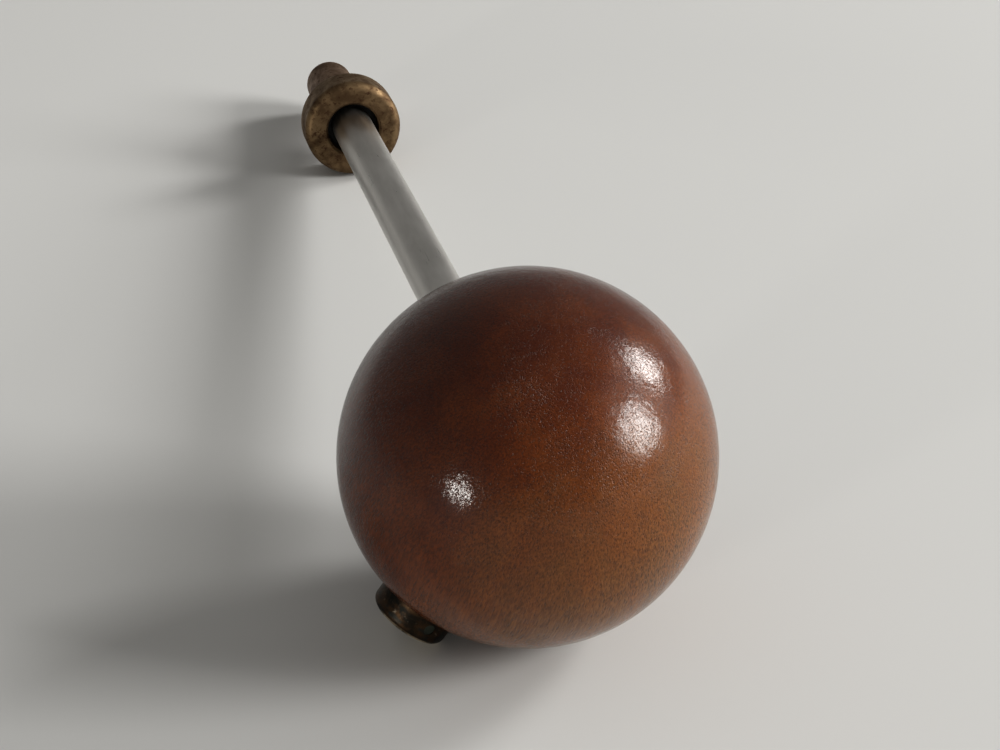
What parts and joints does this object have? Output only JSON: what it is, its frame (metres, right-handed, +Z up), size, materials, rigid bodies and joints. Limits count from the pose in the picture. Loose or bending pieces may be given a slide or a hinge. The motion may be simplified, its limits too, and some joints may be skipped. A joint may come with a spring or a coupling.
{
  "type": "devil stick",
  "caption": "Ball-ended prop stick: varnished wooden ball on a slim metal tube, loose brass ring and brass cap at the far end, lock knob in the ball's side.",
  "frame": {"origin": "middle of the footprint, on the surface that the stick lies on", "axes": "+Z up from the surface, +Y from the wooden ball towards the end cap, +X to the right seen from the ball"},
  "size_m": [0.064, 0.2512, 0.064],
  "materials": {
    "varnished_wood": "glossy varnish over reddish open-pored wood",
    "tube_metal": "satin drawn tube",
    "aged_brass": "dull aged brass with darker patches",
    "dark_brass": "heat-darkened brass with a worn bright rim",
    "bush_plastic": "matt black",
    "plain_steel": "turned steel",
    "plain_brass": "machined brass",
    "cork": "matt fibre and cork"
  },
  "bodies": {
    "ball": {"wooden_ball": "varnished_wood", "rod_socket": "plain_brass", "socket_cushion": "cork", "thread_insert": "plain_brass"},
    "lock_pad": {"pressure_pad": "plain_brass"},
    "lock_screw": {"lock_stud": "plain_steel", "lock_knob": "dark_brass", "lock_pin": "plain_steel", "lock_washer": "cork"},
    "stick": {"rod_tube": "tube_metal", "rod_foot": "plain_steel", "end_stud": "plain_steel", "cross_pins": "plain_steel", "retaining_clip": "plain_steel", "thrust_washer": "cork", "end_cap": "aged_brass"},
    "ring": {"brass_ring": "aged_brass", "ring_bush": "bush_plastic"}
  },
  "joints": [
    {"name": "stick_slide", "type": "slide", "parent": "ball", "child": "stick", "axis": [0, 0.9939, -0.11], "range_m": [0, 0.012]},
    {"name": "ring_spin", "type": "hinge", "parent": "stick", "child": "ring", "pos_m": [0, 0.08904, 0.01178], "axis": [0, 0.9939, -0.11], "continuous": true},
    {"name": "pad_slide", "type": "slide", "parent": "ball", "child": "lock_pad", "axis": [-0.6111, -0.0871, -0.7868], "range_m": [0, 0.002]},
    {"name": "knob_turn", "type": "hinge", "parent": "lock_pad", "child": "lock_screw", "pos_m": [-0.02194, -0.09677, 0.00376], "axis": [-0.6111, -0.0871, -0.7868], "range_deg": [0, 720]}
  ],
  "couplings": [
    {"joint": "knob_turn", "follows": "pad_slide", "rad_per_m": 6283.2}
  ]
}
